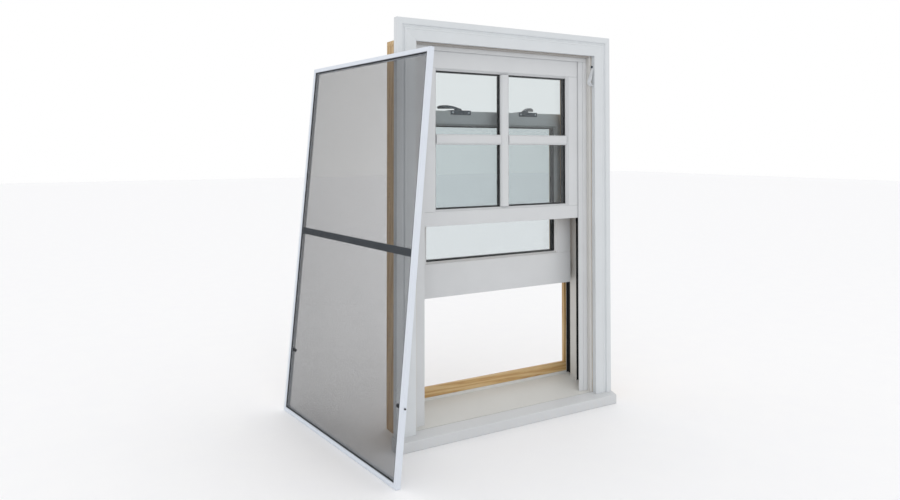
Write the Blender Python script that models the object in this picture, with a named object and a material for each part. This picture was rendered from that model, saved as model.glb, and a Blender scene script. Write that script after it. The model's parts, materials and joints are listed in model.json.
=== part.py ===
"""A double-hung sash window with a clad exterior, a wooden interior and a loose insect screen.

Metres, +Z up. The exterior faces -Y, +X is to the right seen from outside, and the origin is on the
underside of the sill, on the window's centre line. The upper sash slides in the outer track and the
lower sash in the inner one. The screen stands on the floor and leans on the left casing.
"""

import math

import bmesh
import bpy
from mathutils import Vector

# Driving sizes
OPENING_W, OPENING_H = 0.538, 0.900  # the opening between the wooden jambs
NOSING_H = 0.028  # the opening's bottom above the floor
GAP = 0.0003  # between pieces that touch
SLIDE_GAP = 0.0008  # beside a piece that slides

# Frame
CASING_W, CASING_T = 0.0508, 0.0165
JAMB_T = 0.0125
TRACK_INSET = 0.0075  # face of the jamb liner, inside the opening's edge
FIRST_STEP, FIRST_STEP_D = 0.0085, 0.0095  # the liner's front edge: inset and depth
STOP_INSETS = (0.021, 0.0355)  # the outer stop's two steps, inside the opening's edge
STOP_DEPTHS = (0.0112, 0.0138)  # where each ends, behind the casing
HEAD_STOP_INSET, HEAD_STRIP_INSET = 0.015, 0.005
SILL_SLOPE = math.tan(math.radians(14))
SILL_RISE = 0.0039  # the sill above the opening's bottom, at the frame's front
SILL_SKIN = 0.003
NOSING_OUT, NOSING_HORN = 0.0155, 0.004
INNER_STOP_INSET, INNER_STOP_T = 0.015, 0.0085
INNER_CLEARANCE = 0.0024  # between the lower sash and the inner stop
JAMB_PAST_STOP = 0.0103  # the jamb's reach behind the inner stop
SILL_STOP_TOP = 0.0595  # above the opening's bottom
SILL_LIP_H, SILL_LIP_T = 0.0065, 0.0013  # turned up at the back of the sill's skin

# Sashes
SASH_T, SASH_GAP = 0.034, 0.0136
MEET_GAP = 0.0047  # from the meeting rail's check to the lower sash
MEET_DROP = 0.0251  # the closed lower sash's top, below the upper sash's glass
SASH_INSET = 0.022  # a sash's edge, inside the opening's edge
STOP_CLEARANCE = 0.0009
STILE_W = 0.049
TOP_RAIL_W, MEETING_RAIL_W = 0.0514, 0.039
CHECK_RAIL_W, BOTTOM_RAIL_W = 0.0372, 0.0877
UPPER_LIGHT_H = 0.3326  # visible glass
LIP_BACK = 0.004  # the wooden lip's edge, outside the visible glass
HEAD_CLEARANCE = 0.0025
RAISED_BY = 0.2646  # how far the lower sash stands open
SEAL_GAP = 0.003  # under the closed lower sash
CLAD_T, CLAD_BEAD = 0.0092, 0.005
PANE_T, AIR_T = 0.003, 0.011
PANE_BITE = 0.0065  # pane beyond the visible light
SPACER_W = 0.0075
GRILLE_W, GRILLE_T = 0.025, 0.008
GRILLE_BELOW_TOP = 0.1666  # centre of the level bar, below the top of the light

# Balances and guides, in a slot of the liner behind each sash's edge
OUTER_SLOT_AHEAD, INNER_SLOT_AHEAD = 0.0095, 0.0155  # in front of each sash's back
SLOT_W, SLOT_DEPTH = 0.0163, 0.006
BALANCE_LEN = 0.33
GUIDE_H, GUIDE_SET_BACK = 0.036, 0.001  # its height, and how far inside the sash's back

# Locks
LOCK_X = 0.104
LOCK_W, LOCK_FLANGE_H, LOCK_PLATE_T = 0.058, 0.0116, 0.0018
LOCK_PIVOT_BACK = 0.012  # behind the sash's front face
LOCK_OPEN_DEG = 34.0  # the lever's direction, from the rail towards the room
LOCK_TURN_DEG = 140.0  # from open to locked
CAM_DEG = 270 - LOCK_OPEN_DEG - LOCK_TURN_DEG  # from the lever to the cam
LEVER_LEN, LEVER_W, LEVER_H = 0.054, 0.011, 0.0138
CAM_R, CAM_W, CAM_T = 0.0160, 0.008, 0.002
KEEPER_W, KEEPER_H, KEEPER_T = 0.044, 0.0116, 0.0012

# Screen
SCREEN_CLEARANCE = 0.002  # round the screen in its opening
SCREEN_T, SCREEN_BAR = 0.0115, 0.015
SCREEN_MESH_T, SCREEN_MESH_IN = 0.0008, 0.0013
MID_BAR_UP, MID_BAR_H, MID_BAR_T = 0.466, 0.016, 0.007  # its middle, above the screen's foot
SCREEN_FOOT = (-0.1554, 0.0011)  # depth and height of the outer face's near lower corner
LEAN_GAP = 0.002  # from the screen to the casing it leans on
SCREEN_HEADING_DEG, SCREEN_LEAN_DEG = 97.19, 5.37
PIN_Z, PIN_R, PIN_OUT = 0.157, 0.0018, 0.004
KNOB_R, KNOB_END = 0.0042, 0.026  # the knob's radius, and its end from the screen's edge
PIN_CLEARANCE = 0.0004
HOLE_R, HOLE_DEPTH, HOLE_Z = 0.0026, 0.007, 0.158

# Leaf spring beside the screen's place
SPRING_TOP, SPRING_LOW = 0.8765, 0.8193  # above the opening's bottom
SPRING_T, SPRING_BOW = 0.0007, 0.013
SPRING_TAB_W, SPRING_BLADE_W = 0.006, 0.014  # at the screw, and at the bow
SPRING_TAB_Y, SPRING_FOOT = 0.012, 0.010
SPRING_BACK_GAP = 0.0004  # from the blade's back edge to the jamb liner

# Worked-out places
HALF = OPENING_W / 2
Z0 = NOSING_H
HEAD_Z = Z0 + OPENING_H
FRAME_Y = CASING_T + GAP
STOP_BACK = FRAME_Y + STOP_DEPTHS[-1]
UPPER_Y = STOP_BACK + STOP_CLEARANCE
LOWER_Y = UPPER_Y + SASH_T + SASH_GAP
MEET_Y = LOWER_Y - MEET_GAP
OUTER_SLOT_Y = UPPER_Y + SASH_T - OUTER_SLOT_AHEAD
INNER_SLOT_Y = LOWER_Y + SASH_T - INNER_SLOT_AHEAD
INNER_STOP_Y = LOWER_Y + SASH_T + INNER_CLEARANCE
INNER_STOP_BACK = INNER_STOP_Y + INNER_STOP_T
BACK_Y = INNER_STOP_BACK + JAMB_PAST_STOP
SASH_HALF = HALF - SASH_INSET
LIGHT_HALF = SASH_HALF - STILE_W
TRACK_X = HALF - TRACK_INSET
SLOT_FLOOR_X = TRACK_X + SLOT_DEPTH
HEAD_TRACK_Z = HEAD_Z - TRACK_INSET
UPPER_TOP = HEAD_TRACK_Z - HEAD_CLEARANCE
UPPER_LIGHT_TOP = UPPER_TOP - TOP_RAIL_W
UPPER_LIGHT_LOW = UPPER_LIGHT_TOP - UPPER_LIGHT_H
UPPER_LOW = UPPER_LIGHT_LOW - MEETING_RAIL_W
SCREEN_W = OPENING_W - 2 * SCREEN_CLEARANCE
SCREEN_H = OPENING_H - 2 * SCREEN_CLEARANCE
PIN_DEPTH = SCREEN_MESH_IN + SCREEN_MESH_T + GAP + KNOB_R  # behind the screen's outer face
COLOURS = {
    "clad_white": ((0.66, 0.67, 0.68), 0.42, 0.0),
    "strip_grey": ((0.40, 0.38, 0.36), 0.6, 0.0),
    "vinyl_white": ((0.62, 0.62, 0.61), 0.5, 0.0),
    "pine": ((0.62, 0.40, 0.20), 0.55, 0.0),
    "glass": ((0.80, 0.86, 0.85), 0.05, 0.0),
    "spacer_black": ((0.02, 0.02, 0.025), 0.6, 0.0),
    "lock_grey": ((0.09, 0.11, 0.13), 0.4, 0.6),
    "steel": ((0.5, 0.5, 0.52), 0.35, 1.0),
    "guide_black": ((0.03, 0.03, 0.03), 0.5, 0.0),
    "screen_white": ((0.68, 0.71, 0.75), 0.35, 0.1),
    "bar_grey": ((0.12, 0.13, 0.15), 0.5, 0.2),
    "mesh_grey": ((0.12, 0.12, 0.13), 0.8, 0.0),
    "spring_white": ((0.75, 0.76, 0.78), 0.35, 0.2),
}


def sill_z(y):
    """Height of the sloped sill's top at depth y."""
    return Z0 + SILL_RISE + SILL_SLOPE * (y - FRAME_Y)


LOWER_LOW = sill_z(LOWER_Y) + SEAL_GAP + RAISED_BY
LOWER_LIGHT_LOW = LOWER_LOW + BOTTOM_RAIL_W
LOWER_TOP = UPPER_LIGHT_LOW - MEET_DROP + RAISED_BY
LOWER_LIGHT_TOP = LOWER_TOP - CHECK_RAIL_W


def clear_scene():
    for obj in list(bpy.data.objects):
        bpy.data.objects.remove(obj, do_unlink=True)


def material(slot):
    found = bpy.data.materials.get(slot)
    if found:
        return found
    colour, roughness, metallic = COLOURS[slot]
    made = bpy.data.materials.new(slot)
    made.use_nodes = True
    shader = made.node_tree.nodes["Principled BSDF"]
    shader.inputs["Base Color"].default_value = (*colour, 1.0)
    shader.inputs["Roughness"].default_value = roughness
    shader.inputs["Metallic"].default_value = metallic
    made.diffuse_color = (*colour, 1.0)
    return made


def from_bmesh(name, bm, slot, parent=None):
    bmesh.ops.recalc_face_normals(bm, faces=bm.faces)
    mesh = bpy.data.meshes.new(name)
    bm.to_mesh(mesh)
    bm.free()
    mesh.materials.append(material(slot))
    obj = bpy.data.objects.new(name, mesh)
    bpy.context.scene.collection.objects.link(obj)
    obj.parent = parent
    return obj


def loft(name, rings, slot, parent=None, closed=False):
    """A solid through rings of equally many points. Closed joins the last ring to the first."""
    bm = bmesh.new()
    loops = [[bm.verts.new(point) for point in ring] for ring in rings]
    pairs = list(zip(loops, loops[1:]))
    if closed:
        pairs.append((loops[-1], loops[0]))
    for a, b in pairs:
        for i in range(len(a)):
            j = (i + 1) % len(a)
            bm.faces.new((a[i], a[j], b[j], b[i]))
    if not closed:
        bm.faces.new(loops[0])
        bm.faces.new(loops[-1])
    return from_bmesh(name, bm, slot, parent)


def box(name, low, high, slot, parent=None):
    corners = [(low[0], low[1]), (high[0], low[1]), (high[0], high[1]), (low[0], high[1])]
    rings = [[(x, y, z) for x, y in corners] for z in (low[2], high[2])]
    return loft(name, rings, slot, parent)


def cylinder(name, start, end, radius, slot, parent=None, sides=24):
    axis = Vector(end) - Vector(start)
    turn = axis.to_track_quat("Z", "Y").to_matrix()
    circle = [
        Vector((radius * math.cos(math.tau * i / sides), radius * math.sin(math.tau * i / sides), 0))
        for i in range(sides)
    ]
    rings = [[Vector(place) + turn @ point for point in circle] for place in (start, end)]
    obj = loft(name, rings, slot, parent)
    smooth(obj)
    return obj


def smooth(obj):
    obj.data.shade_smooth()
    obj.data.set_sharp_from_angle(angle=math.radians(35))


def combine(obj, other, operation):
    """Add to obj, or cut from it, another object that stays as a hidden guide."""
    other.hide_render = True
    other.display_type = "WIRE"
    other.name = f"{obj.name}_guide_{len(obj.modifiers)}"
    step = obj.modifiers.new(other.name, "BOOLEAN")
    step.operation = operation
    step.object = other
    return obj


def empty(name, place, rotation=(0, 0, 0), parent=None):
    obj = bpy.data.objects.new(name, None)
    bpy.context.scene.collection.objects.link(obj)
    obj.parent = parent
    obj.location = place
    obj.rotation_euler = rotation
    return obj


def in_x(profile, x):
    """A (y, z) profile as points at x."""
    return [(x, y, z) for y, z in profile]


# Frame

# The casing's face from its inner edge outwards: (distance out, depth behind the front)
CASING_FACE = (
    (0.0, 0.0025),
    (0.0256, 0.0025),
    (0.0262, 0.0017),
    (0.0296, 0.0017),
    (0.0304, 0.0034),
    (0.0352, 0.0034),
    (0.0362, 0.0),
    (0.0498, 0.0),
    (CASING_W, 0.0010),
)


def make_casing():
    outline = list(CASING_FACE) + [(CASING_W, CASING_T), (0.0, CASING_T)]
    for side, name in ((-1, "casing_left"), (1, "casing_right")):
        foot = [(side * (HALF + out), y, sill_z(y) + GAP) for out, y in outline]
        mitre = [(side * (HALF + out), y, HEAD_Z + out - 1.5 * GAP) for out, y in outline]
        leg = loft(name, [foot, mitre], "clad_white")
        hole_y = CASING_T - SCREEN_T + PIN_DEPTH
        start = (side * (HALF - 0.004), hole_y, Z0 + HOLE_Z)
        end = (side * (HALF + HOLE_DEPTH), hole_y, Z0 + HOLE_Z)
        combine(leg, cylinder("cutter", start, end, HOLE_R, "clad_white", sides=12), "DIFFERENCE")
    rings = [[(side * (HALF + out), y, HEAD_Z + out) for out, y in outline] for side in (-1, 1)]
    loft("casing_head", rings, "clad_white")


def make_jambs():
    for side, name in ((-1, "jamb_left"), (1, "jamb_right")):
        a, b = sorted((side * HALF, side * (HALF + JAMB_T)))
        box(name, (a, FRAME_Y, 0), (b, BACK_Y, HEAD_Z - GAP), "pine")
    out = HALF + JAMB_T
    box("jamb_head", (-out, FRAME_Y, HEAD_Z), (out, BACK_Y, HEAD_Z + JAMB_T), "pine")


def make_liners():
    """White track liners with a slot behind the edge of each sash, and the head's plate."""
    back = INNER_STOP_Y - GAP
    root = HALF - GAP
    step = HALF - FIRST_STEP
    for side, name in ((-1, "jamb_liner_left"), (1, "jamb_liner_right")):
        plan = [
            (root, FRAME_Y), (step, FRAME_Y), (step, FRAME_Y + FIRST_STEP_D),
            (TRACK_X, FRAME_Y + FIRST_STEP_D),
        ]
        for near in (OUTER_SLOT_Y, INNER_SLOT_Y):
            far = near + SLOT_W
            plan += [(TRACK_X, near), (SLOT_FLOOR_X, near), (SLOT_FLOOR_X, far), (TRACK_X, far)]
        plan += [(TRACK_X, back), (root, back)]
        foot = [(side * x, y, sill_z(y) + GAP) for x, y in plan]
        top = [(side * x, y, HEAD_Z - GAP) for x, y in plan]
        loft(name, [foot, top], "vinyl_white")
    half = TRACK_X - GAP
    low = (-half, STOP_BACK + GAP, HEAD_TRACK_Z)
    box("head_liner", low, (half, back, HEAD_Z - GAP), "vinyl_white")


def make_outer_stops():
    """Stepped bars down each side, under a bar and a weatherstrip across the head."""
    first = FRAME_Y + FIRST_STEP_D
    middle, last = (FRAME_Y + depth for depth in STOP_DEPTHS)
    root = TRACK_X - GAP
    step_1, step_2 = (HALF - inset for inset in STOP_INSETS)
    plan = [
        (root, first + GAP), (step_1, first + GAP), (step_1, middle), (step_2, middle),
        (step_2, last), (root, last),
    ]
    low = HEAD_Z - HEAD_STOP_INSET
    for side, name in ((-1, "outer_stop_left"), (1, "outer_stop_right")):
        foot = [(side * x, y, sill_z(y) + GAP) for x, y in plan]
        top = [(side * x, y, low - GAP) for x, y in plan]
        loft(name, [foot, top], "clad_white")
    half, high = HALF - FIRST_STEP - GAP, HEAD_Z - GAP
    box("outer_stop_head", (-half, first, low), (half, last, high), "clad_white")
    strip_low = HEAD_Z - HEAD_STRIP_INSET
    box("head_weatherstrip", (-half, FRAME_Y, strip_low), (half, first - GAP, high), "strip_grey")


def make_sill():
    half = HALF - GAP
    under = SILL_SKIN + GAP
    core = [
        (FRAME_Y, 0), (BACK_Y, 0),
        (BACK_Y, sill_z(BACK_Y) - under), (FRAME_Y, sill_z(FRAME_Y) - under),
    ]
    loft("sill_core", [in_x(core, -half), in_x(core, half)], "pine")
    skin_back = INNER_STOP_Y - GAP
    lip_y = skin_back - SILL_LIP_T
    skin = [
        (FRAME_Y, sill_z(FRAME_Y) - SILL_SKIN), (skin_back, sill_z(skin_back) - SILL_SKIN),
        (skin_back, sill_z(skin_back)), (FRAME_Y, sill_z(FRAME_Y)),
    ]
    cladding = loft("sill_cladding", [in_x(skin, -half), in_x(skin, half)], "clad_white")
    lip_half = TRACK_X - GAP
    low = (-lip_half, lip_y, sill_z(lip_y) - SILL_SKIN / 2)
    lip = box("lip", low, (lip_half, skin_back, sill_z(lip_y) + SILL_LIP_H), "clad_white")
    combine(cladding, lip, "UNION")
    out = HALF + CASING_W + NOSING_HORN
    edge = 0.003
    round_y = edge - NOSING_OUT
    nosing = [
        (-NOSING_OUT, edge), (round_y, 0), (CASING_T, 0), (CASING_T, sill_z(CASING_T)),
        (round_y, sill_z(round_y)), (-NOSING_OUT, sill_z(round_y) - edge),
    ]
    loft("sill_nosing", [in_x(nosing, -out), in_x(nosing, out)], "clad_white")


def make_inner_stops():
    """Wooden stops that hold the lower sash in, seen from the room."""
    front, back = INNER_STOP_Y, INNER_STOP_BACK
    root, face = HALF - GAP, HALF - INNER_STOP_INSET
    head_low = HEAD_Z - INNER_STOP_INSET
    sill_top = Z0 + SILL_STOP_TOP
    for side, name in ((-1, "inner_stop_left"), (1, "inner_stop_right")):
        a, b = sorted((side * root, side * face))
        box(name, (a, front, sill_top + GAP), (b, back, head_low - GAP), "pine")
    box("inner_stop_head", (-root, front, head_low), (root, back, HEAD_Z - GAP), "pine")
    section = [
        (front, sill_z(front) - SILL_SKIN), (back, sill_z(back) - SILL_SKIN),
        (back, sill_top), (front, sill_top),
    ]
    loft("sill_stop", [in_x(section, -root), in_x(section, root)], "pine")


def make_leaf_spring():
    """A strip screwed to the reveal by a narrow tab. It widens as it bows out, then curls back."""
    count, turn = 12, 0.75  # stations in each part, and the share of the length before the curl
    start = SPRING_TOP - SPRING_FOOT
    drop = start - SPRING_LOW
    foot = GAP + SPRING_T / 2
    line = [(0.0, SPRING_TOP), (0.0, start)]
    for i in range(1, count + 1):
        share = i / count
        line.append((SPRING_BOW * share**1.15, start - drop * turn * share))
    for i in range(1, count + 1):
        angle = math.radians(80) * i / count
        along = turn + (1 - turn) * math.sin(angle)
        line.append((SPRING_BOW * math.cos(angle), start - drop * along))
    points = [Vector((HALF - foot - bow, Z0 + z)) for bow, z in line]
    back = FRAME_Y - SPRING_BACK_GAP
    rings = []
    for i, point in enumerate(points):
        heading = (points[min(i + 1, len(points) - 1)] - points[max(i - 1, 0)]).normalized()
        offset = Vector((-heading.y, heading.x)) * SPRING_T / 2
        flare = max(0.0, min(1.0, (i - 1) / (0.8 * count)))
        near = SPRING_TAB_Y - SPRING_TAB_W / 2
        near += (back - SPRING_BLADE_W - near) * flare
        far = SPRING_TAB_Y + SPRING_TAB_W / 2
        far += (back - far) * flare
        a, b = point + offset, point - offset
        rings.append([(a.x, near, a.y), (b.x, near, b.y), (b.x, far, b.y), (a.x, far, a.y)])
    smooth(loft("leaf_spring", rings, "spring_white"))


def make_balances():
    """One spring balance in each slot, hanging from the head."""
    top = HEAD_TRACK_Z - SLIDE_GAP
    inner, outer = TRACK_X + SLIDE_GAP, SLOT_FLOOR_X - GAP
    for track, slot_y in (("outer", OUTER_SLOT_Y), ("inner", INNER_SLOT_Y)):
        near = slot_y + SLIDE_GAP
        far = slot_y + SLOT_W - SLIDE_GAP
        for side, hand in ((-1, "left"), (1, "right")):
            a, b = sorted((side * inner, side * outer))
            box(f"balance_{track}_{hand}", (a, near, top - BALANCE_LEN), (b, far, top), "steel")


# Sashes


def wood_planes(y):
    """Front, glazing lip and back of a sash's wooden members."""
    lip = y + CLAD_T + 2 * PANE_T + AIR_T + 2 * GAP
    return y + CLAD_T + GAP, lip, y + SASH_T


def make_stiles(prefix, y, low_of, high, parent):
    """Wooden stiles with a rabbet for the glass; low_of gives the foot's height at a depth."""
    front, lip, back = wood_planes(y)
    rabbet = LIGHT_HALF + PANE_BITE + GAP
    edge = LIGHT_HALF + LIP_BACK
    plan = [
        (SASH_HALF, front), (SASH_HALF, back), (edge, back),
        (edge, lip), (rabbet, lip), (rabbet, front),
    ]
    for side, hand in ((-1, "left"), (1, "right")):
        foot = [(side * x, d, low_of(d)) for x, d in plan]
        top = [(side * x, d, high) for x, d in plan]
        loft(f"{prefix}_stile_{hand}", [foot, top], "pine", parent)


def make_rail(name, y, outer_of, light, parent, check=0.0):
    """A wooden rail between the stiles; outer_of gives its outer edge's height at a depth.

    The check is how far the rail reaches behind its sash."""
    front, lip, back = wood_planes(y)
    back += check
    away = 1 if outer_of(front) > light else -1
    rabbet = light + away * (PANE_BITE + GAP)
    edge = light + away * LIP_BACK
    section = [
        (front, outer_of(front)), (back, outer_of(back)), (back, edge),
        (lip, edge), (lip, rabbet), (front, rabbet),
    ]
    half = LIGHT_HALF + LIP_BACK - GAP
    loft(name, [in_x(section, -half), in_x(section, half)], "pine", parent)


def make_cladding(name, y, low_of, high, light, parent):
    """The white skin on a sash's outside, with a bevelled bead round the glass."""
    back = y + CLAD_T
    rings = []
    for side, up in ((-1, 0), (1, 0), (1, 1), (-1, 1)):
        edge_z = (high, high) if up else (low_of(y), low_of(back))
        inner_z = light[up]
        wide_z = inner_z + (CLAD_BEAD if up else -CLAD_BEAD)
        rings.append([
            (side * SASH_HALF, y, edge_z[0]),
            (side * SASH_HALF, back, edge_z[1]),
            (side * LIGHT_HALF, back, inner_z),
            (side * LIGHT_HALF, back - 0.002, inner_z),
            (side * (LIGHT_HALF + CLAD_BEAD), y, wide_z),
        ])
    loft(name, rings, "clad_white", parent, closed=True)


def make_glazing(prefix, y, light, parent):
    """Two panes with a black spacer between their edges. Gives the outer pane's face."""
    half = LIGHT_HALF + PANE_BITE
    low, high = light[0] - PANE_BITE, light[1] + PANE_BITE
    outer_y = y + CLAD_T + GAP
    spacer_y = outer_y + PANE_T + GAP
    inner_y = outer_y + PANE_T + AIR_T
    for place, pane_y in (("outer", outer_y), ("inner", inner_y)):
        corners = (-half, pane_y, low), (half, pane_y + PANE_T, high)
        box(f"{prefix}_pane_{place}", *corners, "glass", parent)
    seal = 0.002
    rings = []
    for side, up in ((-1, 0), (1, 0), (1, 1), (-1, 1)):
        x_out, z_out = half - seal, (high - seal if up else low + seal)
        x_in, z_in = x_out - SPACER_W, (z_out - SPACER_W if up else z_out + SPACER_W)
        rings.append([
            (side * x_out, spacer_y, z_out),
            (side * x_out, inner_y - GAP, z_out),
            (side * x_in, inner_y - GAP, z_in),
            (side * x_in, spacer_y, z_in),
        ])
    loft(f"{prefix}_spacer", rings, "spacer_black", parent, closed=True)
    return outer_y


def make_grille(name, y_front, y_back, light, slot, parent):
    """A cross of glazing bars as a single outline."""
    half, bar = LIGHT_HALF - GAP, GRILLE_W / 2
    low, high = light[0] + GAP, light[1] - GAP
    mid = light[1] - GRILLE_BELOW_TOP
    outline = [
        (-bar, low), (bar, low), (bar, mid - bar), (half, mid - bar), (half, mid + bar),
        (bar, mid + bar), (bar, high), (-bar, high), (-bar, mid + bar), (-half, mid + bar),
        (-half, mid - bar), (-bar, mid - bar),
    ]
    rings = [[(x, y, z) for x, z in outline] for y in (y_front, y_back)]
    loft(name, rings, slot, parent)


def make_guides(prefix, y, slot_y, z_low, parent):
    """Tongues on a sash's edges that ride in the slots below the balances."""
    near, far = slot_y + 2 * SLIDE_GAP, y + SASH_T - GUIDE_SET_BACK
    root, tip = SASH_HALF + GAP, SLOT_FLOOR_X - 2 * SLIDE_GAP
    for side, hand in ((-1, "left"), (1, "right")):
        a, b = sorted((side * root, side * tip))
        box(f"{prefix}_guide_{hand}", (a, near, z_low), (b, far, z_low + GUIDE_H), "guide_black", parent)


def make_upper_sash():
    body = empty("upper_sash_slide", (0, 0, 0))
    y = UPPER_Y
    light = (UPPER_LIGHT_LOW, UPPER_LIGHT_TOP)
    make_stiles("upper", y, lambda d: UPPER_LOW, UPPER_TOP, body)
    make_rail("upper_top_rail", y, lambda d: UPPER_TOP, light[1], body)
    check = MEET_Y - (y + SASH_T)
    make_rail("upper_meeting_rail", y, lambda d: UPPER_LOW, light[0], body, check)
    make_cladding("upper_cladding", y, lambda d: UPPER_LOW, UPPER_TOP, light, body)
    grille_back = make_glazing("upper", y, light, body) - GAP
    make_grille("upper_grille_outer", grille_back - GRILLE_T, grille_back, light, "clad_white", body)
    make_guides("upper", y, OUTER_SLOT_Y, UPPER_LOW + 0.004, body)
    cam_top = LOWER_TOP - RAISED_BY + LOCK_PLATE_T + CAM_T + 2 * GAP
    low = cam_top + 2 * SLIDE_GAP - GAP
    back = MEET_Y + GAP
    for side, hand in ((-1, "left"), (1, "right")):
        x = side * LOCK_X
        corners = (x - KEEPER_W / 2, back, low), (x + KEEPER_W / 2, back + KEEPER_T, low + KEEPER_H)
        box(f"keeper_{hand}", *corners, "lock_grey", body)


def lower_low(y):
    """The lower sash's underside, parallel to the sill."""
    return LOWER_LOW + SILL_SLOPE * (y - LOWER_Y)


def make_lock_base(name, x, parent):
    """A bent plate: over the rail's top and down its front."""
    top = LOWER_TOP + GAP
    face = LOWER_Y - GAP
    front = face - LOCK_PLATE_T
    back = LOWER_Y + 0.026
    high = top + LOCK_PLATE_T
    section = [
        (front, high - LOCK_FLANGE_H), (face, high - LOCK_FLANGE_H), (face, top),
        (back, top), (back, high), (front, high),
    ]
    half = LOCK_W / 2
    loft(name, [in_x(section, x - half), in_x(section, x + half)], "lock_grey", parent)


def make_lever(name, x, side, parent):
    """A sweeping handle over a round hub, with a flat cam under it. It points away from the middle."""
    deck = LOWER_TOP + LOCK_PLATE_T + 2 * GAP
    turn = math.radians(LOCK_OPEN_DEG)
    heading = turn if side > 0 else math.pi - turn
    pivot = empty(f"{name}_pivot", (x, LOWER_Y + LOCK_PIVOT_BACK, 0), (0, 0, heading), parent)
    low = deck + CAM_T
    crest = deck + LEVER_H
    steps = 10
    over, under = [], []
    for i in range(steps + 1):
        t = i / steps
        r = -0.006 + (LEVER_LEN + 0.006) * t
        arch = math.sin(math.pi * min(1.0, 0.25 + 0.62 * t))
        high = low + 0.003 + (crest - low - 0.003) * arch
        over.append((r, high))
        under.append((r, max(low, high - 0.0035 - 0.0055 * t)))
    section = under + over[::-1]
    rings = [[(r, w, z) for r, z in section] for w in (-LEVER_W / 2, LEVER_W / 2)]
    arm = loft(name, rings, "lock_grey", pivot)
    hub = cylinder("hub", (0, 0, deck), (0, 0, low + 0.008), 0.009, "lock_grey", pivot)
    combine(arm, hub, "UNION")
    across = side * math.radians(CAM_DEG)
    aim = Vector((math.cos(across), math.sin(across), 0))
    half = Vector((-aim.y, aim.x, 0)) * CAM_W / 2
    corners = (half, aim * CAM_R + half, aim * CAM_R - half, -half)
    rings = [[(p.x, p.y, z) for p in corners] for z in (deck, low)]
    combine(arm, loft("cam", rings, "lock_grey", pivot), "UNION")
    return arm


def make_lower_sash():
    body = empty("lower_sash_slide", (0, 0, 0))
    y = LOWER_Y
    light = (LOWER_LIGHT_LOW, LOWER_LIGHT_TOP)
    make_stiles("lower", y, lower_low, LOWER_TOP, body)
    make_rail("lower_check_rail", y, lambda d: LOWER_TOP, light[1], body)
    make_rail("lower_bottom_rail", y, lower_low, light[0], body)
    make_cladding("lower_cladding", y, lower_low, LOWER_TOP, light, body)
    make_glazing("lower", y, light, body)
    make_guides("lower", y, INNER_SLOT_Y, LOWER_LOW + 0.014, body)
    for side, hand in ((-1, "left"), (1, "right")):
        make_lock_base(f"lock_base_{hand}", side * LOCK_X, body)
        make_lever(f"lock_lever_{hand}", side * LOCK_X, side, body)


# Screen, in its own axes: +X along its foot from the near stile to the far one, -Y to the casing


def make_screen_bars(body):
    """Four mitred bars."""
    bar = SCREEN_BAR
    high, wide = SCREEN_H, SCREEN_W
    corners = (
        ((0, 0), (bar, bar)),
        ((wide, 0), (wide - bar, bar)),
        ((wide, high), (wide - bar, high - bar)),
        ((0, high), (bar, high - bar)),
    )
    bars = (
        ("screen_rail_bottom", (1, 0)), ("screen_stile_far", (0, 1)),
        ("screen_rail_top", (-1, 0)), ("screen_stile_near", (0, -1)),
    )
    for i, (name, heading) in enumerate(bars):
        rings = []
        for (outer, inner), toward in ((corners[i], 1), (corners[(i + 1) % 4], -1)):
            shift = 0.75 * GAP * toward
            move = (heading[0] * shift, heading[1] * shift)
            points = [(p[0] + move[0], p[1] + move[1]) for p in (outer, inner)]
            (a, b), (c, d) = points
            rings.append([(a, 0, b), (c, 0, d), (c, -SCREEN_T, d), (a, -SCREEN_T, b)])
        loft(name, rings, "screen_white", body)


def make_screen():
    lean, heading = math.radians(SCREEN_LEAN_DEG), math.radians(SCREEN_HEADING_DEG)
    foot_y, foot_z = SCREEN_FOOT
    # The top edge's casing side stops a little short of the casing's outer corner
    over = SCREEN_H * math.sin(lean) + SCREEN_T * math.cos(lean)
    foot_x = -(HALF + CASING_W) - LEAN_GAP - over * math.sin(heading)
    foot_x += foot_y / math.tan(heading)
    body = empty("screen_foot", (foot_x, foot_y, foot_z), (lean, 0, heading))
    make_screen_bars(body)
    inner = SCREEN_BAR + GAP
    mesh_back = -SCREEN_MESH_IN - SCREEN_MESH_T
    low = (inner, mesh_back, inner)
    high = (SCREEN_W - inner, -SCREEN_MESH_IN, SCREEN_H - inner)
    box("screen_mesh", low, high, "mesh_grey", body)
    bar_y = mesh_back - GAP
    low = (inner, bar_y - MID_BAR_T, MID_BAR_UP - MID_BAR_H / 2)
    high = (SCREEN_W - inner, bar_y, MID_BAR_UP + MID_BAR_H / 2)
    box("screen_mid_bar", low, high, "bar_grey", body)
    make_plungers(body)


def make_plungers(body):
    """Sprung pins through the stiles, near the foot, with a knob on each."""
    y = -PIN_DEPTH
    for name, edge, inward in (("plunger_near", 0.0, 1), ("plunger_far", SCREEN_W, -1)):
        stile = bpy.data.objects[f"screen_stile_{name[8:]}"]
        start = (edge - inward * 0.002, y, PIN_Z)
        end = (edge + inward * (SCREEN_BAR + 0.002), y, PIN_Z)
        radius = PIN_R + PIN_CLEARANCE
        bore = cylinder("bore", start, end, radius, "screen_white", body, sides=12)
        combine(stile, bore, "DIFFERENCE")
        near = (edge + inward * (SCREEN_BAR + GAP), y, PIN_Z)
        far = (edge + inward * KNOB_END, y, PIN_Z)
        knob = cylinder(name, near, far, KNOB_R, "guide_black", body, sides=16)
        tip = (edge - inward * PIN_OUT, y, PIN_Z)
        root = (edge + inward * (SCREEN_BAR + KNOB_END) / 2, y, PIN_Z)
        pin = cylinder("pin", tip, root, PIN_R, "guide_black", body, sides=12)
        combine(knob, pin, "UNION")


def main():
    clear_scene()
    make_casing()
    make_jambs()
    make_liners()
    make_outer_stops()
    make_sill()
    make_inner_stops()
    make_leaf_spring()
    make_balances()
    make_upper_sash()
    make_lower_sash()
    make_screen()


main()
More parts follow.
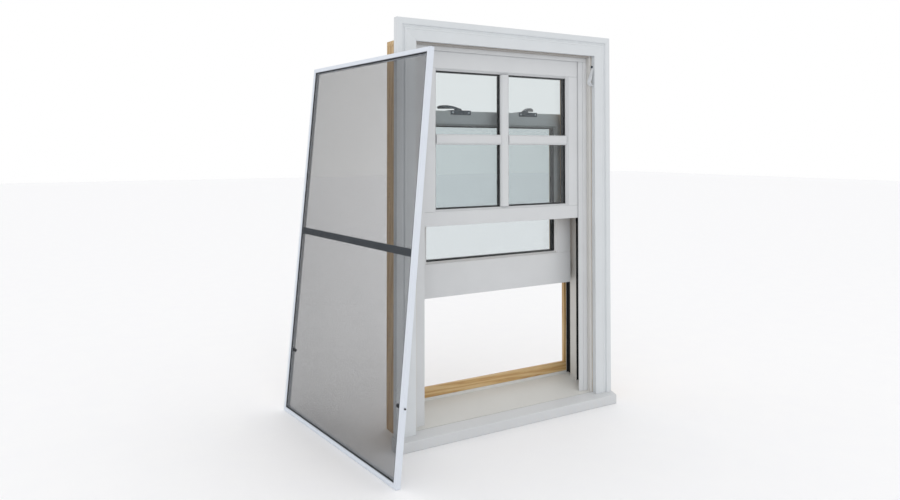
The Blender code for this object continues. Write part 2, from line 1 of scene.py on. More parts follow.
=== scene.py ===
"""Looks of the double-hung window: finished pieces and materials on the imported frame, in metres."""

import json
import math

import bmesh
import bpy
from mathutils import Matrix, Vector


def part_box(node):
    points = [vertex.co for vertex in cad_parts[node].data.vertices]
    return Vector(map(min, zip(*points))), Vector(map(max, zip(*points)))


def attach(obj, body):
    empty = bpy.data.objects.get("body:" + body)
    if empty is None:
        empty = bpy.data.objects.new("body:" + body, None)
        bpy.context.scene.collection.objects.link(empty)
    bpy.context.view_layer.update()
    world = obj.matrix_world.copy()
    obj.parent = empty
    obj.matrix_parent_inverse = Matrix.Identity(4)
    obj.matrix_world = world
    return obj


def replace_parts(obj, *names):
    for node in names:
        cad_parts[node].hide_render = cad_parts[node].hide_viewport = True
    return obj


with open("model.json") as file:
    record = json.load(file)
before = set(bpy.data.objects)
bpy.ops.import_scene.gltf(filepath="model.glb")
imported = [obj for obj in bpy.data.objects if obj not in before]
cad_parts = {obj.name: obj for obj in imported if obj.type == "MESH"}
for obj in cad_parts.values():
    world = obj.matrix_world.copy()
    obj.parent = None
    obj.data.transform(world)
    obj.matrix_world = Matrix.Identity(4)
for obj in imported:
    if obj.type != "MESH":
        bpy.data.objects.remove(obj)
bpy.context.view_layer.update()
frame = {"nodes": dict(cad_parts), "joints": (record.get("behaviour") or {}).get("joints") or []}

# Gaps and round edges
JOINT = 0.0003  # open line between pieces that meet
ARRIS = 0.0008  # a soft edge on a painted piece
MITRE = 0.0001  # open line of the casing's mitres

# Casing face, inner edge outwards: (distance out, depth behind the front)
CASING_FACE = (
    (0.0, 0.0025),
    (0.0255, 0.0025),
    (0.0263, 0.0014),
    (0.0297, 0.0014),
    (0.0305, 0.0036),
    (0.0350, 0.0036),
    (0.0364, 0.0),
)
SILL_SKIN = 0.003
BEAD = 0.005  # width of the bevel round the glass
BEAD_DEPTH = 0.0022  # of the square edge against the glass
MUNTIN_HALF_W, MUNTIN_SPLAY = 0.0125, 0.0045
SLOT_WALL = 0.00025
LIP_BACK = 0.004  # the wooden lip's edge, outside the visible glass
SILL_SLOPE = math.tan(math.radians(14))

# Locks
FLANGE_SCREW = 0.0233  # from the lock's middle
SCREW_R = 0.0024
LEVER_SIDE = (  # (distance from the pivot, height over the deck), anticlockwise
    (-0.0085, 0.0),
    (0.0085, 0.0),
    (0.0098, 0.0030),
    (0.0135, 0.0044),
    (0.0525, 0.0044),
    (0.0537, 0.0100),
    (0.0470, 0.0125),
    (0.0370, 0.0136),
    (0.0270, 0.0134),
    (0.0160, 0.0118),
    (0.0050, 0.0086),
    (-0.0045, 0.0044),
)
LEVER_HALF_W = 0.0054
LEVER_OPEN_DEG, CAM_OPEN_DEG = 34.0, 130.0  # from the rail towards the room
CAM_LEN, CAM_HALF_W, CAM_T = 0.0158, 0.0038, 0.0018

SPRING_TAB_Y = 0.012  # the screwed tab's middle

# Screen
SCREEN_LEAN_DEG = 5.37
SCREEN_W, SCREEN_H, SCREEN_T = 0.534, 0.896, 0.0115
BAR_SECTION = (  # (distance in from the edge, depth behind the outer face)
    (0.0, 0.0),
    (0.0098, 0.0),
    (0.0098, 0.0040),
    (0.0132, 0.0040),
    (0.0132, 0.0026),
    (0.0150, 0.0026),
    (0.0150, 0.0088),
    (0.0128, SCREEN_T),
    (0.0, SCREEN_T),
)
SPLINE_IN, SPLINE_DEPTH, SPLINE_R = 0.0115, 0.0022, 0.0014
MESH_DEPTH, WIRE = 0.0019, 0.00025
PITCH_ACROSS, PITCH_UP = 0.0016, 0.00175
MID_BAR_UP, MID_BAR_H = 0.466, 0.016  # its middle, above the screen's foot
PIN_Z, PIN_R, PIN_OUT = 0.157, 0.0018, 0.0039
PIN_DEPTH, KNOB_R = 0.0066, 0.0041
PIN_HOLE_BELOW_HEAD = 0.742


def colour(red, green, blue):
    """Screen values from 0 to 255 as the linear colour a shader takes."""
    linear = []
    for value in (red, green, blue):
        share = value / 255
        linear.append(share / 12.92 if share <= 0.04045 else ((share + 0.055) / 1.055) ** 2.4)
    return (*linear, 1.0)


# Materials


def new_material(name, roughness, metallic=0.0):
    made = bpy.data.materials.new(name)
    made.use_nodes = True
    nodes = made.node_tree.nodes
    shader = nodes["Principled BSDF"]
    shader.inputs["Roughness"].default_value = roughness
    shader.inputs["Metallic"].default_value = metallic
    return made, nodes, made.node_tree.links, shader


def noise(nodes, links, vector, scale, detail=3.0, rough=0.55):
    node = nodes.new("ShaderNodeTexNoise")
    node.inputs["Scale"].default_value = scale
    node.inputs["Detail"].default_value = detail
    node.inputs["Roughness"].default_value = rough
    links.new(vector, node.inputs["Vector"])
    return node.outputs["Fac"]


def ramp(nodes, links, factor, stops):
    """Colours by factor: stops are (place, colour)."""
    node = nodes.new("ShaderNodeValToRGB")
    elements = node.color_ramp.elements
    while len(elements) < len(stops):
        elements.new(0.5)
    for element, (place, tint) in zip(elements, stops):
        element.position = place
        element.color = tint
    links.new(factor, node.inputs["Fac"])
    return node.outputs["Color"]


def spread(nodes, links, factor, low, high):
    """A factor around the middle carried to a narrow range."""
    node = nodes.new("ShaderNodeMapRange")
    node.inputs["From Min"].default_value = 0.3
    node.inputs["From Max"].default_value = 0.7
    node.inputs["To Min"].default_value = low
    node.inputs["To Max"].default_value = high
    links.new(factor, node.inputs["Value"])
    return node.outputs["Result"]


def add_bump(nodes, links, shader, height, strength, distance):
    node = nodes.new("ShaderNodeBump")
    node.inputs["Strength"].default_value = strength
    node.inputs["Distance"].default_value = distance
    links.new(height, node.inputs["Height"])
    links.new(node.outputs["Normal"], shader.inputs["Normal"])


def coating(name, tint, shade, roughness, grain=700.0, depth=0.00006, metallic=0.0):
    """Paint or moulded plastic: faint clouding, a fine skin and uneven gloss."""
    made, nodes, links, shader = new_material(name, roughness, metallic)
    place = nodes.new("ShaderNodeTexCoord").outputs["Object"]
    clouds = noise(nodes, links, place, 14.0, 4.0)
    links.new(
        ramp(nodes, links, clouds, ((0.25, shade), (0.75, tint))), shader.inputs["Base Color"]
    )
    gloss = noise(nodes, links, place, 60.0, 3.0)
    low, high = roughness - 0.05, roughness + 0.07
    links.new(spread(nodes, links, gloss, low, high), shader.inputs["Roughness"])
    add_bump(nodes, links, shader, noise(nodes, links, place, grain, 2.0), 0.35, depth)
    return made


def pine(name, along):
    """Clear-finished softwood with its grain along axis 0, 1 or 2."""
    made, nodes, links, shader = new_material(name, 0.42)
    place = nodes.new("ShaderNodeTexCoord").outputs["Object"]
    stretch = nodes.new("ShaderNodeMapping")
    scale = [1.0, 1.0, 1.0]
    scale[along] = 0.045
    stretch.inputs["Scale"].default_value = scale
    links.new(place, stretch.inputs["Vector"])
    flow = stretch.outputs["Vector"]
    rings = nodes.new("ShaderNodeTexWave")
    rings.wave_type = "BANDS"
    rings.bands_direction = "DIAGONAL"
    rings.inputs["Scale"].default_value = 46.0
    rings.inputs["Distortion"].default_value = 7.0
    rings.inputs["Detail"].default_value = 3.0
    rings.inputs["Detail Scale"].default_value = 1.6
    links.new(flow, rings.inputs["Vector"])
    fibres = noise(nodes, links, flow, 900.0, 4.0, 0.7)
    pale, warm, deep = colour(206, 177, 131), colour(194, 160, 106), colour(176, 135, 84)
    banded = ramp(
        nodes, links, rings.outputs["Fac"], ((0.0, pale), (0.62, warm), (0.93, deep), (1.0, warm))
    )
    streaked = ramp(
        nodes, links, fibres, ((0.32, (0.84, 0.80, 0.74, 1.0)), (0.6, (1.0, 1.0, 1.0, 1.0)))
    )
    mix = nodes.new("ShaderNodeMix")
    mix.data_type = "RGBA"
    mix.blend_type = "MULTIPLY"
    mix.inputs["Factor"].default_value = 0.75
    links.new(banded, mix.inputs["A"])
    links.new(streaked, mix.inputs["B"])
    links.new(mix.outputs["Result"], shader.inputs["Base Color"])
    links.new(spread(nodes, links, fibres, 0.36, 0.52), shader.inputs["Roughness"])
    add_bump(nodes, links, shader, fibres, 0.3, 0.00015)
    return made


def clear_glass():
    """A pane that lets light straight through and mirrors a little of it."""
    made = bpy.data.materials.new("window_glass")
    made.use_nodes = True
    nodes, links = made.node_tree.nodes, made.node_tree.links
    nodes.remove(nodes["Principled BSDF"])
    through = nodes.new("ShaderNodeBsdfTransparent")
    shade = nodes.new("ShaderNodeBsdfTransparent")
    ray = nodes.new("ShaderNodeLightPath")
    cast = nodes.new("ShaderNodeMixShader")
    through.inputs["Color"].default_value = (0.925, 0.940, 0.943, 1.0)
    mirror = nodes.new("ShaderNodeBsdfGlossy")
    mirror.inputs["Roughness"].default_value = 0.01
    fresnel = nodes.new("ShaderNodeFresnel")
    fresnel.inputs["IOR"].default_value = 1.35
    mix = nodes.new("ShaderNodeMixShader")
    links.new(fresnel.outputs["Fac"], mix.inputs["Fac"])
    links.new(through.outputs["BSDF"], mix.inputs[1])
    links.new(mirror.outputs["BSDF"], mix.inputs[2])
    links.new(ray.outputs["Is Shadow Ray"], cast.inputs["Fac"])
    links.new(mix.outputs["Shader"], cast.inputs[1])
    links.new(shade.outputs["BSDF"], cast.inputs[2])
    links.new(cast.outputs["Shader"], nodes["Material Output"].inputs["Surface"])
    return made


CLAD = coating("clad_white", colour(206, 208, 210), colour(202, 204, 206), 0.38, 900.0, 0.00004)
CASING = coating("casing_white", colour(211, 215, 218), colour(207, 211, 214), 0.38, 900.0, 0.00004)
SILL = coating("sill_white", colour(208, 208, 205), colour(204, 204, 201), 0.42, 900.0, 0.00004)
# Painted shade: a darker warm grey that stands in for the shaded soffit under the head casing, put on the
# head weatherstrip.
HEAD_SOFFIT_SHADE = coating("strip_grey", colour(168, 164, 160), colour(162, 158, 154), 0.6, 600.0)
LINER = coating("vinyl_white", colour(207, 206, 203), colour(203, 202, 199), 0.42, 500.0)
PINE = [pine(f"pine_{axis}", i) for i, axis in enumerate("xyz")]
GLASS = clear_glass()
# Also used on the slot linings, where its black is partly painted shade in the deep track slots.
BLACK = coating("seal_black", colour(30, 32, 36), colour(22, 24, 27), 0.62, 400.0, 0.0001)
KNOB = coating("moulded_black", colour(34, 34, 36), colour(26, 26, 28), 0.4, 800.0, 0.00005)
LOCK = coating("lock_grey", colour(74, 84, 94), colour(64, 73, 83), 0.36, 1400.0, 0.00003, 0.35)
ZINC = coating("screw_zinc", colour(215, 220, 226), colour(190, 196, 204), 0.3, 900.0, 0.00003, 0.85)
STEEL = coating("plain_steel", colour(150, 152, 155), colour(134, 136, 140), 0.38, 600.0, 0.00003, 0.9)
SCREEN = coating("screen_white", colour(217, 223, 232), colour(213, 219, 228), 0.33, 800.0)
MID_BAR = coating("bar_grey", colour(92, 100, 108), colour(84, 92, 100), 0.4, 800.0)
WIRE_GREY = coating("mesh_grey", colour(42, 46, 52), colour(36, 40, 46), 0.55, 300.0)
SPLINE = coating("spline_dark", colour(36, 39, 43), colour(30, 33, 37), 0.6, 700.0)
SPRING = coating("spring_white", colour(228, 230, 233), colour(220, 223, 227), 0.32, 900.0, 0.00003, 0.1)
FLOOR = coating("floor_white", colour(250, 250, 251), colour(248, 248, 250), 0.7, 60.0)


# Mesh helpers


def finish_piece(name, bm, body, material):
    """A piece on a body: outward faces, smooth curves with sharp edges kept."""
    bmesh.ops.recalc_face_normals(bm, faces=bm.faces)
    mesh = bpy.data.meshes.new(name)
    bm.to_mesh(mesh)
    bm.free()
    mesh.materials.append(material)
    mesh.shade_smooth()
    mesh.set_sharp_from_angle(angle=math.radians(32))
    obj = bpy.data.objects.new(name, mesh)
    bpy.context.scene.collection.objects.link(obj)
    if body:
        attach(obj, body)
    return obj


def skin(bm, rings, closed=False):
    """Faces through rings of points. Closed joins the last ring to the first, else both are capped."""
    loops = [[bm.verts.new(point) for point in ring] for ring in rings]
    pairs = list(zip(loops, loops[1:]))
    if closed:
        pairs.append((loops[-1], loops[0]))
    for first, second in pairs:
        for i in range(len(first)):
            j = (i + 1) % len(first)
            bm.faces.new((first[i], first[j], second[j], second[i]))
    if not closed:
        bm.faces.new(loops[0])
        bm.faces.new(loops[-1])


def rounded(outline, radius, steps=3):
    """An outline whose corners are turned into short arcs."""
    points = [Vector(point) for point in outline]
    made = []
    for i, corner in enumerate(points):
        before, after = points[i - 1] - corner, points[(i + 1) % len(points)] - corner
        cut = min(radius, 0.42 * before.length, 0.42 * after.length)
        start, end = corner + before.normalized() * cut, corner + after.normalized() * cut
        for step in range(steps + 1):
            t = step / steps
            made.append(start * (1 - t) ** 2 + corner * 2 * t * (1 - t) + end * t * t)
    return [tuple(point) for point in made]


def prism(bm, outline, place, start, end):
    """An outline swept straight: place turns its two numbers and a distance into a point."""
    skin(bm, [[place(a, b, end_at) for a, b in outline] for end_at in (start, end)])


def lathe(bm, profile, origin, axis, sides=32):
    """A solid of revolution: profile is (radius, distance along the axis) from end to end."""
    turn = Vector(axis).to_track_quat("Z", "Y").to_matrix()
    rings = []
    for radius, along in profile:
        ring = []
        for i in range(sides):
            angle = math.tau * i / sides
            local = Vector((radius * math.cos(angle), radius * math.sin(angle), along))
            ring.append(Vector(origin) + turn @ local)
        rings.append(ring)
    skin(bm, rings)


def plate(bm, low, high, soft=ARRIS, along=2):
    """A box with its four long edges rounded."""
    a, b = [i for i in range(3) if i != along]
    outline = rounded(
        ((low[a], low[b]), (high[a], low[b]), (high[a], high[b]), (low[a], high[b])), soft
    )

    def place(first, second, at):
        point = [0.0, 0.0, 0.0]
        point[a], point[b], point[along] = first, second, at
        return point

    prism(bm, outline, place, low[along], high[along])


def soften(obj, width=0.0006, segments=2):
    """Rounds a carried-over piece's edges without touching its mesh."""
    step = obj.modifiers.new("soft_edges", "BEVEL")
    step.width = width
    step.segments = segments
    step.limit_method = "ANGLE"
    step.angle_limit = math.radians(30)
    step.use_clamp_overlap = True


def paint(names, material, width=0.0006):
    for name in names:
        obj = frame["nodes"][name]
        obj.data.materials.clear()
        obj.data.materials.append(material)
        if width:
            soften(obj, width)


# Places read from the frame
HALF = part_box("jamb_right")[0].x
HEAD_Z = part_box("jamb_head")[0].z
SKIN_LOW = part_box("sill_cladding")[0]


def sill_z(y):
    """Height of the sill's sloped top at a depth."""
    return SKIN_LOW.z + SILL_SKIN + SILL_SLOPE * (y - SKIN_LOW.y)


# Frame


def build_casing():
    """Three boards with a stepped, softened face, mitred at the head."""
    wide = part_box("casing_right")[1].x - HALF
    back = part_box("casing_right")[1].y
    outline = rounded((*CASING_FACE, (wide, 0.0), (wide, back), (0.0, back)), 0.0009)
    for side, name in ((-1, "casing_left"), (1, "casing_right")):
        bm = bmesh.new()
        foot = [(side * (HALF + out), y, sill_z(y) + JOINT) for out, y in outline]
        mitre = [(side * (HALF + out), y, HEAD_Z + out - MITRE) for out, y in outline]
        skin(bm, [foot, mitre])
        piece = finish_piece(f"{name}_board", bm, "frame", CASING)
        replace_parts(piece, name)
    bm = bmesh.new()
    skin(bm, [[(side * (HALF + out), y, HEAD_Z + out) for out, y in outline] for side in (-1, 1)])
    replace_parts(finish_piece("casing_head_board", bm, "frame", CASING), "casing_head")


def build_nosing():
    low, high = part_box("sill_nosing")
    outline = (
        (low.y, 0.0), (high.y, 0.0), (high.y, sill_z(high.y)), (low.y, sill_z(low.y)),
    )
    bm = bmesh.new()
    prism(bm, rounded(outline, 0.0022, 5), lambda y, z, x: (x, y, z), low.x, high.x)
    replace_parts(finish_piece("sill_nosing_board", bm, "frame", CLAD), "sill_nosing")


def build_slot_linings():
    """Channels lining the two slots of each track; their black is partly the channel's own colour and
    partly painted shade in the deep slots.
    """
    for track in ("outer", "inner"):
        for side, hand in ((-1, "left"), (1, "right")):
            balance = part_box(f"balance_{track}_{hand}")
            near, far = balance[0].y - 0.0008, balance[1].y + 0.0008
            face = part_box(f"jamb_liner_{hand}")
            floor = max(abs(balance[0].x), abs(balance[1].x)) + JOINT
            mouth = min(abs(balance[0].x), abs(balance[1].x)) - 0.0008 + 0.0004
            wall = SLOT_WALL
            outline = (
                (mouth, near), (floor, near), (floor, far), (mouth, far),
                (mouth, far - wall), (floor - wall, far - wall), (floor - wall, near + wall),
                (mouth, near + wall),
            )
            bm = bmesh.new()
            foot = [(side * x, y, sill_z(y) + 0.002) for x, y in outline]
            top = [(side * x, y, face[1].z - 0.001) for x, y in outline]
            skin(bm, [foot, top])
            finish_piece(f"slot_lining_{track}_{hand}", bm, "frame", BLACK)


def build_leaf_spring_screw():
    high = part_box("leaf_spring")[1]
    inset = HALF - 0.0011
    centre = (inset, SPRING_TAB_Y, high.z - 0.0051)
    bm = bmesh.new()
    profile = ((0.0036, 0.0), (0.0036, 0.0005), (0.0028, 0.0013), (0.0012, 0.0017), (0.0005, 0.0017))
    lathe(bm, profile, centre, (-1, 0, 0))
    finish_piece("leaf_spring_screw", bm, "frame", LOCK)


def build_pin_bush():
    """A small dark bush in the right reveal for the screen's pin."""
    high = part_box("casing_right")[1]
    centre = (HALF + 0.0002, high.y - SCREEN_T + PIN_DEPTH, HEAD_Z - PIN_HOLE_BELOW_HEAD)
    bm = bmesh.new()
    profile = ((0.0022, 0.0060), (0.0025, 0.0060), (0.0025, 0.0), (0.0022, 0.0))
    lathe(bm, profile, centre, (1, 0, 0))
    finish_piece("pin_bush", bm, "frame", LOCK)


# Sashes


def light_of(prefix):
    """Half width, foot and head of a sash's visible glass."""
    rails = {
        "upper": ("upper_meeting_rail", "upper_top_rail"),
        "lower": ("lower_bottom_rail", "lower_check_rail"),
    }
    low, high = rails[prefix]
    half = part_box(low)[1].x + JOINT - LIP_BACK
    return half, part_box(low)[1].z + LIP_BACK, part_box(high)[0].z - LIP_BACK


def build_cladding(prefix, body):
    """Full-width rails, stiles butted between them, and a mitred bevel round the glass."""
    low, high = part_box(f"{prefix}_cladding")
    half, light_low, light_high = light_of(prefix)
    outer = high.x
    y, back = low.y, high.y
    slope = SILL_SLOPE if prefix == "lower" else 0.0
    inner_low, inner_high = light_low - BEAD, light_high + BEAD

    def rail(name, z_low, z_high, fall):
        bm = bmesh.new()
        front_low, back_low = z_low, z_low + fall * (back - y)
        outline = ((y, front_low), (back, back_low), (back, z_high), (y, z_high))
        prism(bm, rounded(outline, ARRIS), lambda d, z, x: (x, d, z), -outer, outer)
        return finish_piece(name, bm, body, CLAD)

    rails = (
        rail(f"{prefix}_clad_rail_low", low.z, inner_low, slope),
        rail(f"{prefix}_clad_rail_high", inner_high, high.z, 0.0),
    )
    for side, hand in ((-1, "left"), (1, "right")):
        bm = bmesh.new()
        a, b = sorted((side * outer, side * (half + BEAD)))
        plate(bm, (a, y, inner_low + JOINT), (b, back, inner_high - JOINT))
        finish_piece(f"{prefix}_clad_stile_{hand}", bm, body, CLAD)
    bm = bmesh.new()
    section = rounded(
        ((BEAD - 0.0001, y + 0.0004), (BEAD - 0.0001, back), (0.0, back), (0.0, back - BEAD_DEPTH)),
        0.0005,
    )
    rings = []
    for side, up in ((-1, 0), (1, 0), (1, 1), (-1, 1)):
        edge = light_high if up else light_low
        out = 1 if up else -1
        rings.append([(side * (half + a), d, edge + out * a) for a, d in section])
    skin(bm, rings, closed=True)
    finish_piece(f"{prefix}_glass_bead", bm, body, CLAD)
    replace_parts(rails[0], f"{prefix}_cladding")


def build_muntins():
    """Glazing bars: one full-height bar and a level bar butted to it on each side."""
    node = "upper_grille_outer"
    low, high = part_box(node)
    half_w = MUNTIN_HALF_W
    middle = bar_level(node)
    face, root = low.y, high.y
    shoulder = face + (root - face) * 0.45
    section = (
        (-half_w, root), (-half_w, shoulder), (-half_w + MUNTIN_SPLAY, face),
        (half_w - MUNTIN_SPLAY, face), (half_w, shoulder), (half_w, root),
    )
    outline = rounded(section, 0.0012)
    bm = bmesh.new()
    prism(bm, outline, lambda a, d, z: (a, d, z), low.z, high.z)
    for start, end in ((low.x, -half_w + 0.0002), (half_w - 0.0002, high.x)):
        prism(bm, outline, lambda a, d, x: (x, d, middle + a), start, end)
    piece = finish_piece("upper_bars_outside", bm, "upper_sash", CLAD)
    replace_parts(piece, node)


def bar_level(node):
    """Height of a glazing cross's level bar, from the widest part of its mesh."""
    obj = frame["nodes"][node]
    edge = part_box(node)[1].x - 0.0005
    heights = [v.co.z for v in obj.data.vertices if v.co.x > edge]
    return sum(heights) / len(heights)


def build_spacer_bars():
    """Black bars between the upper panes, behind the glazing bars."""
    inner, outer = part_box("upper_pane_inner"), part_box("upper_pane_outer")
    near, far = outer[1].y + JOINT, inner[0].y - JOINT
    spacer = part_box("upper_spacer")
    wide = 0.012
    middle = bar_level("upper_grille_outer")
    bm = bmesh.new()
    plate(bm, (-wide, near, spacer[0].z + 0.008), (wide, far, spacer[1].z - 0.008))
    for a, b in ((spacer[0].x + 0.008, -wide - 0.0002), (wide + 0.0002, spacer[1].x - 0.008)):
        plate(bm, (a, near, middle - wide), (b, far, middle + wide), along=0)
    finish_piece("upper_spacer_bars", bm, "upper_sash", BLACK)


def build_seals():
    """A bulb seal under the lower sash."""
    low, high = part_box("lower_bottom_rail")
    y = (low.y + high.y) / 2
    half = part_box("lower_cladding")[1].x - 0.003
    z = low.z + SILL_SLOPE * (y - low.y) - 0.0008
    bm = bmesh.new()
    profile = ((0.0008, 0.0), (0.0019, 0.0006), (0.0019, 2 * half - 0.0006), (0.0008, 2 * half))
    lathe(bm, profile, (-half, y, z), (1, 0, 0), sides=16)
    finish_piece("lower_bulb_seal", bm, "lower_sash", BLACK)


# Locks


def build_lock_base(hand):
    low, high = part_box(f"lock_base_{hand}")
    thick = 0.0018
    section = (
        (low.y, low.z), (low.y + thick, low.z), (low.y + thick, high.z - thick),
        (high.y, high.z - thick), (high.y, high.z), (low.y, high.z),
    )
    bm = bmesh.new()
    prism(bm, rounded(section, 0.0007), lambda d, z, x: (x, d, z), low.x, high.x)
    piece = finish_piece(f"lock_plate_{hand}", bm, "lower_sash", LOCK)
    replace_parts(piece, f"lock_base_{hand}")
    middle = (low.x + high.x) / 2
    for side, end in ((-1, "a"), (1, "b")):
        bm = bmesh.new()
        centre = (middle + side * FLANGE_SCREW, low.y + 0.0004, low.z + 0.0060)
        profile = ((SCREW_R, 0.0), (SCREW_R, 0.0004), (0.0017, 0.0009), (0.0006, 0.0011))
        lathe(bm, profile, centre, (0, -1, 0), sides=24)
        finish_piece(f"lock_screw_{hand}_{end}", bm, "lower_sash", ZINC)


def build_lever(hand, joint):
    """A thick sweeping handle over a round hub and a flat cam."""
    record = next(j for j in frame["joints"] if j["name"] == joint)
    pivot = Vector(record["pos_m"])
    side = 1 if hand == "right" else -1
    turn = math.radians(LEVER_OPEN_DEG)
    heading = Vector((side * math.cos(turn), math.sin(turn), 0))
    across = Vector((-heading.y, heading.x, 0))
    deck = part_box(f"lock_lever_{hand}")[0].z

    def at(r, w, h):
        return Vector((pivot.x, pivot.y, deck + h)) + heading * r + across * w

    outline = rounded(LEVER_SIDE, 0.0022, 4)
    bm = bmesh.new()
    widths = (-1.0, -0.86, -0.55, 0.55, 0.86, 1.0)
    shrink = (0.86, 0.96, 1.0, 1.0, 0.96, 0.86)
    rings = []
    for w, s in zip(widths, shrink):
        ring = []
        for r, h in outline:
            mid_h = 0.0078
            ring.append(at(r * (0.5 + 0.5 * s) + (1 - s) * 0.01, w * LEVER_HALF_W, mid_h + (h - mid_h) * s))
        rings.append(ring)
    skin(bm, rings)
    hub = ((0.0088, 0.0), (0.0088, 0.0030), (0.0080, 0.0044), (0.0060, 0.0052), (0.0010, 0.0056))
    lathe(bm, hub, at(0, 0, 0), (0, 0, 1))
    cam_turn = math.radians(CAM_OPEN_DEG)
    aim = Vector((side * math.cos(cam_turn), math.sin(cam_turn), 0))
    normal = Vector((-aim.y, aim.x, 0)) * CAM_HALF_W
    base = Vector((pivot.x, pivot.y, deck))
    corners = (normal, aim * CAM_LEN + normal * 0.8, aim * CAM_LEN - normal * 0.8, -normal)
    rings = [[base + p + Vector((0, 0, h)) for p in corners] for h in (0.0001, CAM_T)]
    skin(bm, rings)
    piece = finish_piece(f"lock_handle_{hand}", bm, f"{hand}_lever", LOCK)
    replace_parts(piece, f"lock_lever_{hand}")


# Screen


def screen_matrix():
    """The screen's own axes: +X from its near stile along the foot, -Y to the casing, +Z up it."""
    joint = next(j for j in frame["joints"] if j["name"] == "screen_tip")
    axis = -Vector(joint["axis"])
    heading = Matrix.Rotation(math.atan2(axis.y, axis.x), 4, "Z")
    lean = Matrix.Rotation(math.radians(SCREEN_LEAN_DEG), 4, "X")
    return Matrix.Translation(Vector(joint["pos_m"])) @ heading @ lean


def screen_piece(name, bm, material, body="screen"):
    bm.transform(screen_matrix())
    return finish_piece(name, bm, body, material)


def build_screen_bars():
    """Four rolled bars with a spline groove, mitred."""
    section = rounded(BAR_SECTION, 0.0006, 2)
    corners = ((0, 0, 1, 1), (SCREEN_W, 0, -1, 1), (SCREEN_W, SCREEN_H, -1, -1), (0, SCREEN_H, 1, -1))
    nodes = ("screen_rail_bottom", "screen_stile_far", "screen_rail_top", "screen_stile_near")
    headings = ((1, 0), (0, 1), (-1, 0), (0, -1))
    for i, node in enumerate(nodes):
        rings = []
        for (x, z, right, up), toward in ((corners[i], 1), (corners[(i + 1) % 4], -1)):
            shift_x, shift_z = (0.4 * JOINT * toward * step for step in headings[i])
            ring = [(x + right * a + shift_x, -d, z + up * a + shift_z) for a, d in section]
            rings.append(ring)
        bm = bmesh.new()
        skin(bm, rings)
        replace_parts(screen_piece(f"{node}_bar", bm, SCREEN), node)


def build_spline():
    """The cord that holds the mesh in the bars' groove."""
    rings = []
    corners = ((0, 0, 1, 1), (SCREEN_W, 0, -1, 1), (SCREEN_W, SCREEN_H, -1, -1), (0, SCREEN_H, 1, -1))
    for x, z, right, up in corners:
        ring = []
        for k in range(12):
            angle = math.tau * k / 12
            a = SPLINE_IN + SPLINE_R * math.cos(angle)
            ring.append((x + right * a, -SPLINE_DEPTH + SPLINE_R * math.sin(angle), z + up * a))
        rings.append(ring)
    bm = bmesh.new()
    skin(bm, rings, closed=True)
    return screen_piece("screen_spline", bm, SPLINE)


def build_mesh():
    """Woven wires, each a square tube open at its ends, half above and half below the cloth's plane."""
    start = SPLINE_IN
    span_x, span_z = SCREEN_W - 2 * start, SCREEN_H - 2 * start
    half = WIRE / 2
    points, faces = [], []

    def rod(low, high, along):
        base = len(points)
        for end in (low[along], high[along]):
            for side, face in ((low, high), (high, high), (high, low), (low, low)):
                point = [side[0], face[1], side[2]]
                point[along] = end
                points.append(tuple(point))
        quads = ((0, 1, 5, 4), (1, 2, 6, 5), (2, 3, 7, 6), (3, 0, 4, 7))
        faces.extend(tuple(base + i for i in quad) for quad in quads)

    count_x, count_z = round(span_x / PITCH_ACROSS), round(span_z / PITCH_UP)
    y = -MESH_DEPTH
    for i in range(1, count_x):
        x = start + span_x * i / count_x
        rod((x - half, y - 0.0002, start), (x + half, y + 0.00008, start + span_z), 2)
    for i in range(1, count_z):
        z = start + span_z * i / count_z
        rod((start, y - 0.00008, z - half), (start + span_x, y + 0.0002, z + half), 0)
    mesh = bpy.data.meshes.new("screen_cloth")
    mesh.from_pydata(points, [], faces)
    mesh.transform(screen_matrix())
    mesh.materials.append(WIRE_GREY)
    obj = bpy.data.objects.new("screen_cloth", mesh)
    bpy.context.scene.collection.objects.link(obj)
    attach(obj, "screen")
    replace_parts(obj, "screen_mesh")
    return obj, (span_x, span_z)


def build_mid_bar():
    middle = MID_BAR_UP
    inner = 0.0153
    near, far = 0.0024, 0.0094
    outline = (
        (-near, middle - MID_BAR_H / 2), (-near, middle + MID_BAR_H / 2),
        (-far + 0.002, middle + MID_BAR_H / 2), (-far, middle + MID_BAR_H / 2 - 0.003),
        (-far, middle - MID_BAR_H / 2 + 0.003), (-far + 0.002, middle - MID_BAR_H / 2),
    )
    bm = bmesh.new()
    prism(bm, rounded(outline, 0.0007), lambda d, z, x: (x, d, z), inner, SCREEN_W - inner)
    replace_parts(screen_piece("screen_stiffener", bm, MID_BAR), "screen_mid_bar")


def build_plungers():
    """Grooved knobs on sprung pins."""
    for name, edge, inward in (("near", 0.0, 1), ("far", SCREEN_W, -1)):
        knob = (
            (0.0024, 0.0153), (0.0040, 0.0155), (0.0041, 0.0172), (0.0031, 0.0178), (0.0030, 0.0205),
            (0.0040, 0.0212), (KNOB_R, 0.0250), (0.0036, 0.0259), (0.0010, 0.0260),
        )
        bm = bmesh.new()
        origin = (edge, -PIN_DEPTH, PIN_Z)
        lathe(bm, knob, origin, (inward, 0, 0), sides=24)
        pin = (
            (0.0008, -PIN_OUT), (0.0015, -PIN_OUT + 0.0005), (PIN_R, -PIN_OUT + 0.0012), (PIN_R, 0.0165),
        )
        lathe(bm, pin, origin, (inward, 0, 0), sides=20)
        body = f"{name}_plunger"
        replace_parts(screen_piece(f"{name}_pin_and_knob", bm, KNOB, body), f"plunger_{name}")


# Stage


def area_light(name, place, target, size, power, tint=(1.0, 1.0, 1.0)):
    data = bpy.data.lights.new(name, "AREA")
    data.shape = "RECTANGLE"
    data.size, data.size_y = size
    data.energy = power
    data.color = tint
    lamp = bpy.data.objects.new(name, data)
    lamp.location = place
    lamp.rotation_euler = (Vector(target) - Vector(place)).to_track_quat("-Z", "Y").to_euler()
    bpy.context.scene.collection.objects.link(lamp)


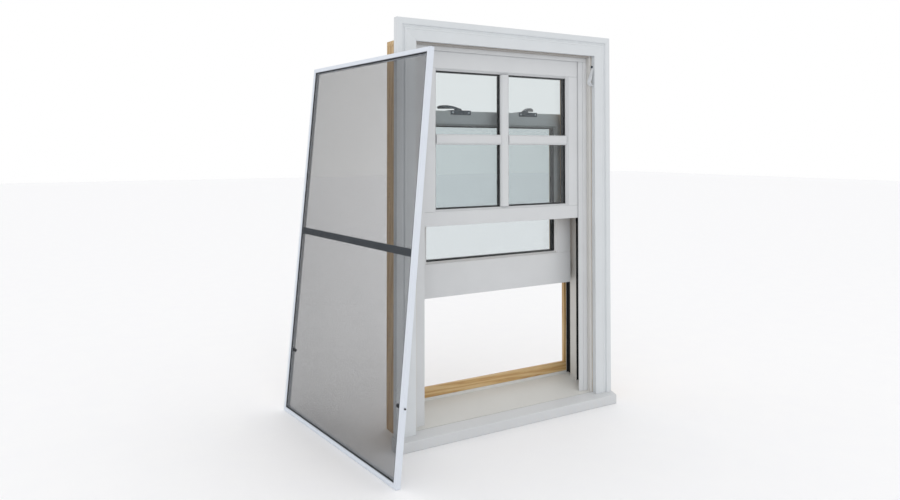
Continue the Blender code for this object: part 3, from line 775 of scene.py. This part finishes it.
def build_stage():
    bm = bmesh.new()
    skin(bm, [[(-15, -15, z), (15, -15, z), (15, 15, z), (-15, 15, z)] for z in (-0.02, 0.0)])
    floor = finish_piece("floor", bm, None, FLOOR)
    world = bpy.data.worlds.new("studio")
    bpy.context.scene.world = world
    world.use_nodes = True
    sky = world.node_tree.nodes["Background"]
    sky.inputs["Color"].default_value = (1.0, 1.0, 1.0, 1.0)
    sky.inputs["Strength"].default_value = 1.0
    middle = (0.0, 0.05, 0.45)
    area_light("key", (-1.6, -2.6, 2.2), middle, (2.0, 1.6), 8.0, (1.0, 0.99, 0.97))
    bpy.context.scene.view_settings.view_transform = "Standard"


def build_camera():
    data = bpy.data.cameras.new("camera")
    data.sensor_width = 36.0
    data.lens = 27.79
    data.shift_x, data.shift_y = 0.0114, -0.1269
    camera = bpy.data.objects.new("camera", data)
    camera.location = (-1.0045, -1.4108, 0.6769)
    camera.rotation_euler = (math.pi / 2 + 0.0201, 0.0, -0.5136)
    bpy.context.scene.collection.objects.link(camera)
    bpy.context.scene.camera = camera


def main():
    paint(("outer_stop_head", "outer_stop_left", "outer_stop_right"), CLAD, 0.0007)
    paint(("sill_cladding",), SILL, 0.0007)
    # The head weatherstrip's warm grey is painted shade of the soffit under the casing.
    paint(("head_weatherstrip",), HEAD_SOFFIT_SHADE, 0.0004)
    paint(("jamb_liner_left", "jamb_liner_right", "head_liner"), LINER, 0.0002)
    paint(("jamb_left", "jamb_right"), PINE[2], 0.0002)
    upright = (
        "inner_stop_left", "inner_stop_right", "upper_stile_left",
        "upper_stile_right", "lower_stile_left", "lower_stile_right",
    )
    level = (
        "jamb_head", "sill_core", "inner_stop_head", "sill_stop", "upper_top_rail",
        "upper_meeting_rail", "lower_check_rail", "lower_bottom_rail",
    )
    paint(upright, PINE[2], 0.0009)
    paint(level, PINE[0], 0.0009)
    panes = [f"{sash}_pane_{place}" for sash in ("upper", "lower") for place in ("outer", "inner")]
    paint(panes, GLASS, 0.0)
    paint(("upper_spacer", "lower_spacer"), BLACK, 0.0)
    paint([f"balance_{t}_{h}" for t in ("outer", "inner") for h in ("left", "right")], STEEL)
    paint([f"{s}_guide_{h}" for s in ("upper", "lower") for h in ("left", "right")], KNOB)
    paint(("keeper_left", "keeper_right"), LOCK, 0.0004)
    paint(("leaf_spring",), SPRING, 0.0001)
    build_casing()
    build_nosing()
    build_slot_linings()
    build_leaf_spring_screw()
    build_pin_bush()
    build_cladding("upper", "upper_sash")
    build_cladding("lower", "lower_sash")
    build_spacer_bars()
    build_muntins()
    build_seals()
    for hand in ("left", "right"):
        build_lock_base(hand)
        build_lever(hand, f"{hand}_lock_turn")
    build_screen_bars()
    spline = build_spline()
    cloth, span = build_mesh()
    build_mid_bar()
    build_plungers()
    build_stage()
    build_camera()


main()
